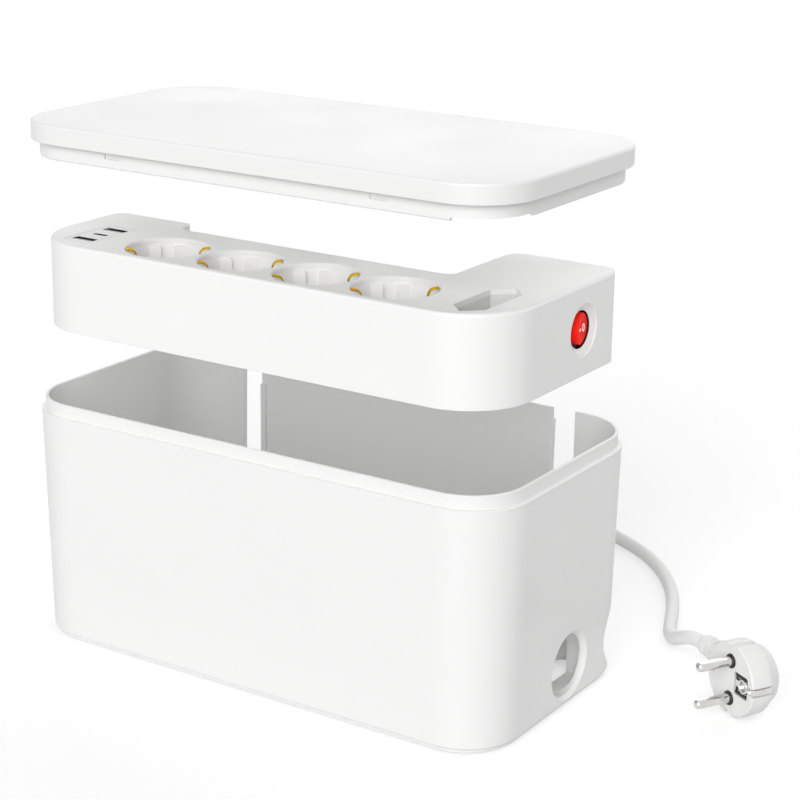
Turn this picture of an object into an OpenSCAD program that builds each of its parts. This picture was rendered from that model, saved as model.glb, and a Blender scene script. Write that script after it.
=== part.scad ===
// Cable management box: an open tub, a power strip that lowers into it and a lid.
// The three stand apart, as when the box is opened; the lid and the strip slide down to their seats.
// Millimetres. Origin under the middle of the tub, +X to the switch end, -Y to the front, +Z up.

/* [Tub] */
// Length at the lid step
tub_l = 276; // [240:2:400]
// Depth at the lid step
tub_d = 142; // [130:2:180]
// Height of the lid step above the table
step_h = 119; // [100:1:150]
// Radius of the upright corners at the step
corner_r = 30; // [24:1:40]
// Wall thickness under the step
wall = 3.6; // [2.4:0.2:4.4]
// How far the wall leans in from step to table
draft_in = 2.4; // [0:0.2:4]
// Height of the lip above the step
lip_h = 6.4; // [4:0.2:7]
// Diameter of the round cable holes
hole_d = 31; // [24:1:36]
// Width of the rear cable slots
slot_w = 12.6; // [10:0.2:16]

/* [Strip] */
// Length of the power strip
strip_l = 267; // [230:1:267]
// Height of the power strip
strip_h = 43.5; // [40:0.5:50]
// Top of the strip while it stands apart
strip_top = 206; // [190:1:230]
// Distance between neighbouring sockets
pitch = 43.3; // [42.4:0.1:45]
// Bore of a socket well
well_d = 40.6; // [39.6:0.2:40.8]
// Direction of the earth clips, from +X
clip_angle = 40; // [0:1:90]
// Width of an earth clip
clip_w = 2.8; // [2:0.2:4]

/* [Lid] */
// Top of the lid while it stands apart
lid_top = 264; // [240:1:290]
// Thickness of the lid at its edge
lid_t = 9.6; // [8.6:0.2:14]
// How far the skirt reaches below the plate
skirt = 8; // [5:0.5:10]

/* [Supply cord] */
// Diameter of the cord
cord_d = 7; // [6:0.5:9]

/* [Hidden] */
$fn = 64;
e = 0.01;

// Tub: corner axes, then radii about them at a height z
ax = tub_l / 2 - corner_r;
ay = tub_d / 2 - corner_r;
lip_step = 2;
lip_t = 1.6;
plinth_h = 3.2;
plinth_in = 1.7;
foot_h = 0.8;
floor_z = 3;
floor_t = 2.5;
function out_r(z) = corner_r - draft_in * (1 - z / step_h);
seat_z = 62;
function in_r(z) = z > seat_z ? corner_r - wall :
    out_r(8) - wall + (z - 8) / (seat_z - 8) * (corner_r - out_r(8));
lip_z = step_h + lip_h;
hole_y = 7.5;
hole_z = 20.8;
corner_hole_z = 20.4;
slot_x = 95.7;
slot_z = 54.3;
rib_top = 66.2;
bead_top = 106;
vent_x = 115.1;
vent_w = 14.4;
vent_y = [-12, 47.8];

// Strip plan: the front band, a short wing at the left and a long wing at the right
sx = strip_l / 2;
s_front = -66.6;
s_mid = -8;
s_left_back = 4.5;
s_right_back = 48;
s_left_in = -84;
s_right_in = 76;
s_front_r = 33;
s_back_r = 8;
s_wall = 2.4;
deck_t = 2.6;
strip_bot = strip_top - strip_h;
base_t = 2.4;
well_y = -42.2;
well_x = [for (i = [0 : 3]) 2.35 + (i - 1.5) * pitch];
well_depth = 17.6;
well_wall = 0.85;
pin_gap = 19;
pin_angle = clip_angle + 90;
euro = [112, -36];
euro_l = 48;
euro_w = 16.5;
euro_depth = 12;
usb = [-107.1, -39.6];
usb_panel_w = 18.6;
usb_panel_l = 38.4;
usb_r = 5;
usb_step = 11.3;
sw_y = 13.7;
sw_z = strip_top - 21.8;
sw_d = 23.9;
sw_bore = 8.9;
rocker_d = 15.8;
rocker_tilt = 12;
pivot_in = 5.1;

// Lid
lid_bot = lid_top - lid_t;
lid_deck = 2.2;
rim_t = 1.7;
frame_t = 1.7;
frame_r = corner_r - lip_step - lip_t - 0.4;
window_x = 74.5;

// Supply cord: from the bushing in the rear slot down to a coil, then round to the plug
cord_r = cord_d / 2;
boot_y = 94;
coil_c = [5, 173];
coil_in = 30;
coil_out = 44;
coil_z = 0.6;
lead_in = [
    [95.7, 94, 54.3], [95.7, 99.5, 54.2], [94.8, 110, 53.2], [91.2, 119.8, 49.5], [84.8, 127.2, 43],
    [76.4, 130.8, 34.8], [66.8, 131, 25.4], [56.8, 131, 15.8], [46.5, 131, 8.4], [34.5, 131, 4.7],
    [22, 131, 4.1], [12, 131, 4.1]
];
lead_out = [
    [12, 217, 11.1], [22, 217, 10.9], [33, 216.4, 9.2], [44, 214.4, 6.2], [56, 210.5, 4.1],
    [69, 204.5, 3.5], [82, 196, 3.5], [95, 184.6, 3.5], [107, 171, 3.5], [118, 155, 3.5],
    [127, 138, 3.5], [134.4, 121.2, 3.5], [141, 106.5, 3.8], [148, 96, 6.2], [155.5, 87.3, 11.2],
    [163.5, 80.2, 16.2], [170, 76, 18.2], [175.5, 72.7, 18.4]
];
// Plug: where its face lies, and the heading of the cord into it
plug_at = [203.5, 41.6, 18.8];
plug_turn = -31;
plug_d = 37;

// ---------- shared shapes ----------

// Sweeps a wall profile, drawn as distance from the corner axis and height,
// round a rounded rectangle
module ring_sweep(cx, cy) {
    for (q = [[cx, cy, 0], [-cx, cy, 90], [-cx, -cy, 180], [cx, -cy, 270]])
        translate([q[0], q[1], 0]) rotate(q[2]) rotate_extrude(angle = 90) children();
    for (a = [0, 180]) rotate(a) {
        translate([cx, cy, 0]) rotate([90, 0, 0]) linear_extrude(2 * cy) children();
        translate([-cx, cy, 0]) rotate([90, 0, 90]) linear_extrude(2 * cx) children();
    }
}

// A rounded rectangle of half sizes hx, hy as true arcs
module round_rect(hx, hy, r) {
    square([2 * hx, 2 * (hy - r)], center = true);
    square([2 * (hx - r), 2 * hy], center = true);
    for (x = [-1, 1], y = [-1, 1]) translate([x * (hx - r), y * (hy - r)]) circle(r);
}

// The corner left between two edges and a circle that touches both
module fillet(r) {
    difference() {
        translate([-e, -e]) square(r + e);
        translate([r, r]) circle(r);
    }
}

// A slot with round ends along Y
module long_slot(w, y0, y1) {
    translate([-w / 2, y0 + w / 2]) square([w, y1 - y0 - w]);
    for (y = [y0 + w / 2, y1 - w / 2]) translate([0, y]) circle(d = w);
}

// A tube of radius r along the points p
function unit(v) = v / norm(v);
function heading(p, i) =
    i == 0 ? unit(p[1] - p[0]) :
    i == len(p) - 1 ? unit(p[i] - p[i - 1]) : unit(unit(p[i + 1] - p[i]) + unit(p[i] - p[i - 1]));
module tube(p, r, sides = 10) {
    n = len(p);
    rings = [for (i = [0 : n - 1])
        let (t = heading(p, i), s = unit(cross(t, [0, 0, 1])), u = cross(s, t))
        for (k = [0 : sides - 1]) p[i] + r * (cos(360 * k / sides) * s + sin(360 * k / sides) * u)];
    caps = [[for (k = [0 : sides - 1]) k], [for (k = [sides - 1 : -1 : 0]) (n - 1) * sides + k]];
    skin = [for (i = [0 : n - 2], k = [0 : sides - 1], t = [0, 1])
        let (a = i * sides + k, b = i * sides + (k + 1) % sides)
        t == 0 ? [a, a + sides, b + sides] : [a, b + sides, b]];
    polyhedron(points = rings, faces = concat(caps, skin));
}

// ---------- tub ----------

module tub_wall() {
    ro = out_r(plinth_h);
    ring_sweep(ax, ay) polygon([
        [ro - plinth_in, foot_h], [ro - plinth_in, plinth_h - 0.4], [ro - 0.5, plinth_h - 0.4],
        [out_r(plinth_h + 0.4), plinth_h + 0.2], [corner_r, step_h - 0.5], [corner_r - 0.5, step_h],
        [corner_r - lip_step, step_h], [corner_r - lip_step, lip_z - 0.4],
        [corner_r - lip_step - 0.4, lip_z],
        [corner_r - lip_step - lip_t + 0.4, lip_z], [corner_r - lip_step - lip_t, lip_z - 0.4],
        [corner_r - wall, seat_z], [out_r(8) - wall, 8], [out_r(8) - wall - 2.2, floor_z + floor_t],
        [out_r(8) - wall - 2.2, floor_z], [ro - plinth_in - 2.4, floor_z], [ro - plinth_in - 2.4, foot_h]
    ]);
}

// Ledge ribs that carry the strip once it is lowered: middle of each rib and the way it faces
rib_at = [
    [-72, -ay, -90], [0, -ay, -90], [72, -ay, -90], [-ax, -24, 180], [ax, -30, 0], [ax, 33, 0]
];
module strip_rib() {
    rotate([90, 0, 0]) translate([0, 0, -1.5]) linear_extrude(3)
        polygon([
            [13.5, floor_z + 1], [25.2, floor_z + 1], [26.9, rib_top], [16, rib_top],
            [13.5, rib_top - 6]
        ]);
}

// Raised edges beside the rear slots, on the panel between them
module slot_beads() {
    for (s = [-1, 1]) translate([s * (slot_x - slot_w / 2 - 1.5) - 1.5, ay + 24.8, 64])
        cube([3, 2.8, bead_top - 64]);
}

module tub_openings() {
    for (s = [-1, 1]) translate([s * slot_x, ay, 0]) {
        translate([-slot_w / 2, 0, slot_z]) cube([slot_w, 40, 90]);
        translate([0, 0, slot_z]) rotate([-90, 0, 0]) cylinder(d = slot_w, h = 40);
    }
    translate([ax, hole_y, hole_z]) rotate([0, 90, 0]) {
        cylinder(d = hole_d, h = 40);
        translate([0, 0, out_r(hole_z) - 2.2]) cylinder(d1 = hole_d, d2 = hole_d + 5, h = 3.4);
    }
    translate([ax, ay, corner_hole_z]) rotate([0, 90, 34]) {
        translate([0, 0, 12]) cylinder(d = hole_d - 2, h = 30);
        translate([0, 0, out_r(20) - 5]) cylinder(d1 = hole_d - 2, d2 = hole_d + 3, h = 6);
    }
}

module tub() color([0.95, 0.95, 0.94]) difference() {
    union() {
        tub_wall();
        translate([0, 0, floor_z]) linear_extrude(floor_t) difference() {
            round_rect(ax + out_r(8) - wall - 1, ay + out_r(8) - wall - 1, out_r(8) - wall - 1);
            for (s = [-1, 1]) translate([s * vent_x, 0])
                long_slot(vent_w, vent_y[0], vent_y[1]);
        }
        for (q = rib_at) translate([q[0], q[1], 0]) rotate(q[2]) strip_rib();
        slot_beads();
    }
    tub_openings();
}

module feet() color([0.82, 0.82, 0.81])
    for (x = [-1, 1], y = [-1, 1]) translate([x * 92, y * 46, 0]) {
        cylinder(d = 15, h = floor_z);
    }

// ---------- supply cord ----------

module cord_bushing() color([0.93, 0.93, 0.92]) translate([slot_x, 0, slot_z]) {
    y_in = ay + in_r(slot_z - 8);
    y_out = ay + out_r(slot_z + 8);
    rotate([-90, 0, 0]) difference() {
        union() {
            translate([0, 0, y_in - 2]) cylinder(d = slot_w + 3.4, h = 2);
            translate([0, 0, y_in - 2]) cylinder(d = slot_w, h = y_out - y_in + 3.8);
            translate([0, 0, y_out]) cylinder(d = slot_w + 3.4, h = 1.8);
            translate([0, 0, y_out + 1.8])
                cylinder(d1 = slot_w - 0.6, d2 = cord_d + 1.6, h = boot_y - y_out - 1.8);
        }
        for (k = [0 : 3]) translate([0, 0, y_out + 5.4 + 4.5 * k]) difference() {
            cylinder(d = 16, h = 1.6);
            translate([0, 0, -e]) cylinder(d = cord_d + 1.2, h = 1.6 + 2 * e);
        }
    }
}

module supply_cord_in() color([0.93, 0.93, 0.92]) tube(lead_in, cord_r, 10);
module supply_cord_out() color([0.93, 0.93, 0.92]) tube(lead_out, cord_r, 10);

module cord_coil() color([0.93, 0.93, 0.92]) translate([coil_c[0], coil_c[1], coil_z]) {
    ri = coil_in - cord_r;
    ro = coil_out + cord_r;
    rotate_extrude() polygon([
        [ri + 1.4, 0], [ro - 1.4, 0], [ro, 1.4], [ro, 2 * cord_d - 1.4], [ro - 1.4, 2 * cord_d],
        [ri + 1.4, 2 * cord_d], [ri, 2 * cord_d - 1.4], [ri, 1.4]
    ]);
}

// Band closed round all the turns
module coil_tie() color([0.25, 0.25, 0.27]) translate([coil_c[0], coil_c[1], 0]) rotate(200) {
    ri = coil_in - cord_r - 0.1;
    ro = coil_out + cord_r + 0.1;
    top = coil_z + 2 * cord_d;
    rotate([90, 0, 0]) translate([0, 0, -5]) linear_extrude(10) difference() {
        translate([ri - 1.2, 0]) square([ro - ri + 2.4, top + 1]);
        translate([ri - 0.5, coil_z]) square([ro - ri + 1, top - coil_z]);
    }
}

// ---------- plug ----------
// Drawn with its pins along -Y and its cord along -X, then turned and laid down

module plug_pose() translate(plug_at) rotate(plug_turn) children();

// Round front with guide grooves at the ends of the pin line and recesses for the earth clips
module plug_body() color([0.95, 0.95, 0.94]) plug_pose() difference() {
    union() {
        rotate([-90, 0, 0]) rotate_extrude() polygon([
            [0, 0], [plug_d / 2 - 0.6, 0], [plug_d / 2, 0.6], [plug_d / 2 - 0.3, 11],
            [plug_d / 2 - 2.4, 13.4], [0, 13.4]
        ]);
        translate([1, 13.4, 0]) rotate([-90, 0, 0]) cylinder(d1 = 31, d2 = 24, h = 6);
        translate([-20, 12.2, 0]) rotate([0, 90, 0]) cylinder(d1 = 14.5, d2 = 17.5, h = 24);
        translate([-7, 19, -2.2]) cube([14, 3, 4.4]);
    }
    for (s = [-1, 1]) {
        translate([-3.2, -1, s > 0 ? plug_d / 2 - 2 : -plug_d / 2 - 2]) cube([6.4, 12, 4]);
        translate([s * plug_d / 2 - 2.6, -1, -2.8]) cube([5.2, 13.4, 5.6]);
        translate([0, -e, s * pin_gap / 2]) rotate([-90, 0, 0]) cylinder(d = 7, h = 3);
    }
    translate([7, -e, -3.6]) cube([8.4, 8, 7.2]);
}

module plug_pins() color([0.78, 0.78, 0.8]) plug_pose() for (s = [-1, 1])
    translate([0, 3 - e, s * pin_gap / 2]) rotate([90, 0, 0]) {
        cylinder(d = 4, h = 5);
        translate([0, 0, 3.6]) cylinder(d = 4.8, h = 16.9);
        translate([0, 0, 20.5]) cylinder(d1 = 4.8, d2 = 3, h = 1.5);
    }

module plug_pin_sleeves() color([0.12, 0.12, 0.13]) plug_pose() for (s = [-1, 1])
    translate([0, 3 - e, s * pin_gap / 2]) rotate([90, 0, 0]) difference() {
        cylinder(d = 7, h = 3.6);
        translate([0, 0, -e]) cylinder(d = 4, h = 5);
    }

// Springs laid in the rim recesses; the upper one turns in over the earth socket
module plug_earth_clips() color([0.8, 0.78, 0.72]) plug_pose() for (s = [-1, 1])
    translate([s * (plug_d / 2 - 2.1), 0, 0]) rotate(s > 0 ? 0 : 180) mirror([0, s > 0 ? 0 : 1, 0])
        translate([0, 0, -2.4]) linear_extrude(4.8)
            polygon([[-0.5, 12.4], [0.2, 12.4], [1.1, 5], [0.1, 0.2], [-0.5, 0.2], [0.4, 5]]);

module plug_earth_socket() color([0.13, 0.13, 0.14]) plug_pose() translate([11.2, 0, 0]) difference() {
    translate([-4.2, 0.2, -3.6]) cube([8.4, 7.8 - e, 7.2]);
    translate([0, -e, 0]) rotate([-90, 0, 0]) cylinder(d = 4.9, h = 6.5);
    for (s = [-1, 1]) translate([-3.2, -1, s * 3 - 0.5]) cube([6.4, 4, 1]);
}

module plug_boot() color([0.93, 0.93, 0.92]) plug_pose() translate([-20, 12.2, 0]) rotate([0, -90, 0])
    difference() {
        union() {
            cylinder(d1 = 12.6, d2 = 10.4, h = 18);
            translate([0, 0, 18]) cylinder(d1 = 10.4, d2 = 8.6, h = 2);
        }
        for (k = [0 : 2], s = [-1, 1]) {
            translate([-4.5, s > 0 ? 4.4 : -9.4, 3.4 + 4.6 * k]) cube([9, 5, 1.7]);
            translate([s > 0 ? 4.4 : -9.4, -4.5, 5.7 + 4.6 * k]) cube([5, 9, 1.7]);
        }
    }

// ---------- power strip ----------

// Outline of the strip moved in by i
module strip_plan(i = 0) {
    x0 = -sx + i;
    x1 = sx - i;
    y0 = s_front + i;
    rf = s_front_r - i;
    rb = max(s_back_r - i, 1.2);
    rc = 5 + i;
    difference() {
        union() {
            translate([x0 + rf, y0]) square([x1 - x0 - 2 * rf, s_mid - i - y0]);
            translate([x0, y0 + rf]) square([x1 - x0, s_mid - i - y0 - rf]);
            translate([x0 + rf, y0 + rf]) circle(rf);
            translate([x1 - rf, y0 + rf]) circle(rf);
            translate([x0, s_mid - i - 1]) square([s_left_in - i - x0, s_left_back - s_mid + 1]);
            translate([s_right_in + i, s_mid - i - 1])
                square([x1 - s_right_in - i, s_right_back - s_mid + 1]);
            translate([s_left_in - i, s_mid - i]) fillet(rc);
            translate([s_right_in + i, s_mid - i]) mirror([1, 0]) fillet(rc);
        }
        translate([x0, s_left_back - i]) mirror([0, 1]) fillet(rb);
        translate([s_left_in - i, s_left_back - i]) rotate(180) fillet(max(5 - i, 1));
        translate([x1, s_right_back - i]) rotate(180) fillet(rb);
        translate([s_right_in + i, s_right_back - i]) mirror([0, 1]) fillet(max(8 - i, 2));
    }
}

// Cuts the sharp top edge from the front and the ends
module top_edge_cut() {
    c = 1.5;
    r = s_front_r;
    translate([0, 0, strip_top]) {
        for (s = [-1, 1]) translate([s * (sx - r), s_front + r, 0]) rotate(s > 0 ? 270 : 180)
            rotate_extrude(angle = 90) edge_profile(r, c);
        translate([-sx + r, s_front + r, 0]) rotate([90, 0, 90]) mirror([1, 0, 0])
            linear_extrude(2 * (sx - r)) edge_profile(r, c);
        for (s = [-1, 1]) translate([s * (sx - r), s_right_back + 2, 0])
            mirror([s > 0 ? 0 : 1, 0, 0]) rotate([90, 0, 0])
                linear_extrude(s_right_back + 2 - s_front - r) edge_profile(r, c);
    }
}
module edge_profile(r, c) polygon([
    [r + 0.6, -c], [r - 0.02, -c], [r - 0.32, -0.5 * c], [r - 0.5 * c, -0.3], [r - c, 0.02],
    [r - c, 0.6], [r + 0.6, 0.6]
]);

// Pointed bar outline of the flat two-pin socket, along Y
module euro_plan(i = 0) {
    w = euro_w / 2 - i;
    l = euro_l / 2 - i;
    polygon([[0, -l], [w, -l + w], [w, l - w], [0, l], [-w, l - w], [-w, -l + w]]);
}

module strip_cover() color([0.96, 0.96, 0.95]) difference() {
    union() {
        difference() {
            translate([0, 0, strip_bot]) linear_extrude(strip_h) strip_plan();
            translate([0, 0, strip_bot - e])
                linear_extrude(strip_h - deck_t + e) strip_plan(s_wall);
        }
        for (b = post_at) translate([b[0], b[1], strip_bot + base_t])
            cylinder(d = 7, h = strip_h - base_t - 1);
    }
    for (b = post_at) translate([b[0], b[1], strip_bot]) cylinder(d = 3, h = 14);
    top_edge_cut();
    translate([0, 0, strip_top - deck_t - 1]) linear_extrude(deck_t + 2) {
        for (x = well_x) translate([x, well_y]) circle(d = well_d);
        translate(euro) euro_plan();
        translate(usb) round_rect(usb_panel_w / 2, usb_panel_l / 2, usb_r);
    }
    for (x = well_x) translate([x, well_y, strip_top - 0.5])
        cylinder(d1 = well_d, d2 = well_d + 1.04, h = 0.52);
    translate([sx - 4, sw_y, sw_z]) rotate([0, 90, 0]) {
        cylinder(d = sw_d, h = 8);
        translate([0, 0, 3.4]) cylinder(d1 = sw_d, d2 = sw_d + 1.24, h = 0.62);
    }
    translate([slot_x, s_right_back - 4, strip_bot + 11]) rotate([-90, 0, 0])
        cylinder(d = 11, h = 8);
}

// Base plate let into the open underside, held by screws that bite into the cover's posts
post_at = [
    [-126, -12], [-44, -14.5], [-2, -14.5], [66.5, -15], [127, -20], [84.5, 38], [122, 40],
    [-91, -2.5]
];
module strip_base() color([0.93, 0.93, 0.92]) difference() {
    translate([0, 0, strip_bot]) linear_extrude(base_t) strip_plan(s_wall + 0.02);
    for (b = post_at) translate([b[0], b[1], strip_bot - e]) {
        cylinder(d = 3.2, h = 14);
        cylinder(d = 6.2, h = 1.2 + e);
    }
}

// Eight equal screws
module base_screws() color([0.7, 0.7, 0.72])
    for (b = post_at) translate([b[0], b[1], strip_bot + 0.1]) difference() {
        union() {
            cylinder(d = 6, h = 1.1);
            cylinder(d = 3, h = 11);
        }
        for (a = [0, 90]) rotate(a) translate([-2, -0.4, -e]) cube([4, 0.8, 0.7]);
    }

// ---------- sockets ----------

module clip_slots(r0, r1, w, z0, h) for (a = [0, 180]) rotate(clip_angle + a)
    translate([r0, -w / 2, z0]) cube([r1 - r0, w, h]);

// Face of a guide pad: square foot, rounded head
module pad_face(w, h, r) {
    translate([-w / 2, 0]) square([w, h - r]);
    translate([r - w / 2, 0]) square([w - 2 * r, h]);
    for (x = [r - w / 2, w / 2 - r]) translate([x, h - r]) circle(r);
}

// Round cup with pin holes, clip slots and a pair of guide pads at each end of the pin line
module socket_well(k) color([0.96, 0.96, 0.95]) translate([well_x[k], well_y, strip_top - deck_t]) {
    depth = well_depth - deck_t;
    ri = well_d / 2;
    difference() {
        translate([0, 0, -depth - 2.2]) cylinder(r = ri + well_wall, h = depth + 2.2);
        difference() {
            translate([0, 0, -depth]) cylinder(r1 = ri - 0.4, r2 = ri, h = depth + e);
            for (a = [0, 180], s = [-1, 1]) rotate(pin_angle + a)
                translate([ri - 2.2, s * 6.7, -depth - 1]) rotate([90, 0, 90])
                    linear_extrude(4) pad_face(7.2, depth + 0.4, 1.5);
        }
        for (s = [-1, 1]) rotate(pin_angle) translate([s * pin_gap / 2, 0, -depth - 3])
            cylinder(d = 5.4, h = 4);
        clip_slots(ri - 6.2, ri - 2.2, clip_w + 0.8, -depth - 3, 4);
        clip_slots(ri - 3, ri + 0.35, clip_w + 0.8, -depth + 1, depth - 3);
    }
}
module socket_well_1() socket_well(0);
module socket_well_2() socket_well(1);
module socket_well_3() socket_well(2);
module socket_well_4() socket_well(3);

// One bow per socket: two springs that rise in the well and a strap under its floor
module earth_clips(k) color([0.86, 0.68, 0.3])
    translate([well_x[k], well_y, strip_top - well_depth]) rotate([90, 0, clip_angle])
    translate([0, 0, -clip_w / 2]) linear_extrude(clip_w) {
        r = well_d / 2;
        half = [
            [r - 3, -3], [r - 3, 0.4], [r - 4.5, 8], [r - 4.9, 12.9], [r - 4.35, 14.75],
            [r - 2.9, 16.1], [r - 0.4, 16.9], [r - 0.5, 17.5], [r - 3.2, 16.9], [r - 5, 15.4],
            [r - 5.7, 13.1], [r - 5.3, 8], [r - 3.8, 0.2], [r - 3.8, -2.2]
        ];
        polygon(concat(half, [for (i = [len(half) - 1 : -1 : 0]) [-half[i][0], half[i][1]]]));
    }
module earth_clips_1() earth_clips(0);
module earth_clips_2() earth_clips(1);
module earth_clips_3() earth_clips(2);
module earth_clips_4() earth_clips(3);

// Strip of metal joining the four earth bows
module earth_bar() color([0.86, 0.68, 0.3])
    translate([well_x[0] - 6, well_y - 3, strip_top - well_depth - 3.8])
        cube([well_x[3] - well_x[0] + 24, 6, 0.8]);

// Sleeves under the pin holes on a flat bar; side is the end of the pin line
module contact_bar(side, drop) {
    dx = side * pin_gap / 2 * cos(pin_angle);
    dy = side * pin_gap / 2 * sin(pin_angle);
    z = strip_top - well_depth - 2.2;
    for (x = well_x) translate([x + dx, well_y + dy, z - 10]) difference() {
        cylinder(d = 6.6, h = 10);
        translate([0, 0, -e]) cylinder(d = 5, h = 11);
    }
    translate([well_x[0] + dx - 5, well_y + dy + side * 3.2 - 0.4, z - 8])
        cube([well_x[3] - well_x[0] + 34, 0.8, 6]);
}
module live_bar() color([0.8, 0.6, 0.3]) contact_bar(1);
module neutral_bar() color([0.8, 0.6, 0.3]) contact_bar(-1);

module euro_well() color([0.96, 0.96, 0.95]) translate([euro[0], euro[1], strip_top - deck_t])
difference() {
    translate([0, 0, -euro_depth + deck_t - 2]) linear_extrude(euro_depth - deck_t + 2) euro_plan(-1.6);
    translate([0, 0, -euro_depth + deck_t]) linear_extrude(euro_depth) euro_plan();
    for (s = [-1, 1]) translate([0, s * pin_gap / 2, -euro_depth - 2])
        cylinder(d = 4.8, h = 6);
}

module euro_contacts() color([0.8, 0.6, 0.3]) for (s = [-1, 1])
    translate([euro[0], euro[1] + s * pin_gap / 2, strip_top - euro_depth - 12]) difference() {
        cylinder(d = 6, h = 10);
        translate([0, 0, -e]) cylinder(d = 4.2, h = 11);
    }

// ---------- USB ----------

module usb_panel() color([0.97, 0.97, 0.96]) translate([usb[0], usb[1], strip_top - deck_t])
difference() {
    union() {
        linear_extrude(deck_t - 0.1)
            round_rect(usb_panel_w / 2 - 0.15, usb_panel_l / 2 - 0.15, usb_r - 0.15);
        translate([0, 0, -1.4]) linear_extrude(1.4) intersection() {
            round_rect(usb_panel_w / 2 + 1.6, usb_panel_l / 2 + 1.6, usb_r + 1);
            translate([-usb[0], -usb[1]]) strip_plan(s_wall + 0.1);
        }
    }
    for (s = [-1, 1]) translate([0, s * usb_step, 0]) cube([13.2, 5.8, 12], center = true);
    linear_extrude(20, center = true) rotate(90) long_slot(3.2, -4.6, 4.6);
}

// Metal shell, open at the top, round a contact tongue
module usb_a(s) translate([usb[0], usb[1] + s * usb_step, strip_top - 1.2]) {
    color([0.75, 0.76, 0.78]) difference() {
        translate([-6.55, -2.85, -12]) cube([13.1, 5.7, 12]);
        translate([-6.25, -2.55, -11.4]) cube([12.5, 5.1, 12]);
    }
    color([0.15, 0.15, 0.16]) translate([-5.6, -2, -11.6]) cube([11.2, 1.8, 9.6]);
}
module usb_a_port_1() usb_a(-1);
module usb_a_port_2() usb_a(1);

module usb_c_port() color([0.75, 0.76, 0.78]) translate([usb[0], usb[1], strip_top - 13.2]) {
    difference() {
        linear_extrude(12.1) rotate(90) long_slot(3.16, -4.5, 4.5);
        translate([0, 0, 0.8]) linear_extrude(12) rotate(90) long_slot(2.6, -4.2, 4.2);
    }
    translate([-3.3, -0.35, 0.5]) cube([6.6, 0.7, 10.4]);
}

module usb_board() color([0.1, 0.35, 0.2])
    translate([usb[0] - 8, usb[1] - 17.5, strip_top - 14.8]) cube([16, 36, 1.6]);

module usb_supply() color([0.85, 0.75, 0.3]) translate([usb[0], usb[1], strip_top - 14.8]) {
    translate([-7, -13, -11]) cube([14, 16, 11]);
    translate([0, 9, -13]) cylinder(d = 8, h = 13);
    translate([-4, 14, -5]) cube([9, 4.6, 5]);
}

// ---------- switch ----------

// Dished bezel behind the cover's round hole, with a cup for the rocker
module switch_body() color([0.96, 0.96, 0.95]) translate([sx, sw_y, sw_z]) rotate([0, 90, 0])
difference() {
    rotate_extrude() polygon([
        [0, -18], [sw_bore + 1.4, -18], [sw_bore + 1.4, -4], [sw_d / 2 + 1.6, -4],
        [sw_d / 2 + 1.6, -s_wall], [sw_d / 2, -s_wall], [sw_d / 2, -0.7], [sw_d / 2 - 0.3, -0.7],
        [sw_bore, -2.3], [sw_bore, -16.4], [0, -16.4]
    ]);
    for (a = [0, 180]) rotate(a) translate([sw_bore - 0.4, 0, -pivot_in]) rotate([0, 90, 0])
        cylinder(d = 2.1, h = 1.4);
}

// The button rocks about an upright pin; its face is slightly hollow
module rocker() color([0.85, 0.08, 0.06]) translate([sx - pivot_in, sw_y, sw_z])
rotate(rocker_tilt) {
    intersection() {
        rotate([0, 90, 0]) translate([0, 0, -4]) cylinder(d = rocker_d, h = 9);
        linear_extrude(30, center = true) polygon([
            [-4, -3], [-1, -7.9], [3.1, -7.9], [3.5, -7.4], [3.15, -3.6], [3, 0],
            [3.15, 3.6], [3.5, 7.4], [3.1, 7.9], [-1, 7.9], [-4, 3]
        ]);
    }
    cylinder(d = 1.96, h = 19.2, center = true);
    cylinder(d = 5, h = 14, center = true);
}

module switch_terminals() color([0.8, 0.8, 0.8]) for (y = [-5.5, 0, 5.5])
    translate([sx - 26, sw_y + y - 0.4, sw_z - 2.4]) cube([8, 0.8, 4.8]);

// Tapered boot where the supply cord enters the strip
module cord_gland() color([0.93, 0.93, 0.92])
    translate([slot_x, s_right_back, strip_bot + 11]) rotate([-90, 0, 0])
    difference() {
        union() {
            translate([0, 0, -s_wall - 2]) cylinder(d = 14, h = 2);
            translate([0, 0, -s_wall - e]) cylinder(d = 10.9, h = s_wall + 2 * e);
            cylinder(d1 = 12.4, d2 = 9.6, h = 13.5);
        }
        translate([0, 0, -6]) cylinder(d = cord_d + 0.2, h = 22);
        for (k = [0 : 1]) translate([0, 0, 3.4 + 4.4 * k]) difference() {
            cylinder(d = 16, h = 1.6);
            translate([0, 0, -e]) cylinder(d = 9, h = 1.6 + 2 * e);
        }
    }

module terminal_block() color([0.2, 0.35, 0.6]) translate([slot_x, 20, strip_bot + base_t])
difference() {
    translate([-10, -6, 0]) cube([26, 12, 12]);
    for (k = [0 : 2]) translate([-6 + 9 * k, 0, 4]) {
        cylinder(d = 4, h = 10);
        translate([0, 0, 2]) rotate([90, 0, 0]) cylinder(d = 3, h = 20, center = true);
    }
}

// ---------- lid ----------

module lid_cover() color([0.97, 0.97, 0.96]) {
    r = corner_r;
    ring_sweep(ax, ay) polygon([
        [r - rim_t + 0.2, lid_bot], [r - 0.4, lid_bot], [r, lid_bot + 0.4], [r, lid_top - 1.3],
        [r - 0.38, lid_top - 0.38], [r - 1.3, lid_top], [0, lid_top], [0, lid_top - lid_deck],
        [r - rim_t - 0.4, lid_top - lid_deck], [r - rim_t, lid_top - lid_deck - 0.4]
    ]);
    translate([-ax, -ay, lid_top - lid_deck]) cube([2 * ax, 2 * ay, lid_deck]);
}

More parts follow.
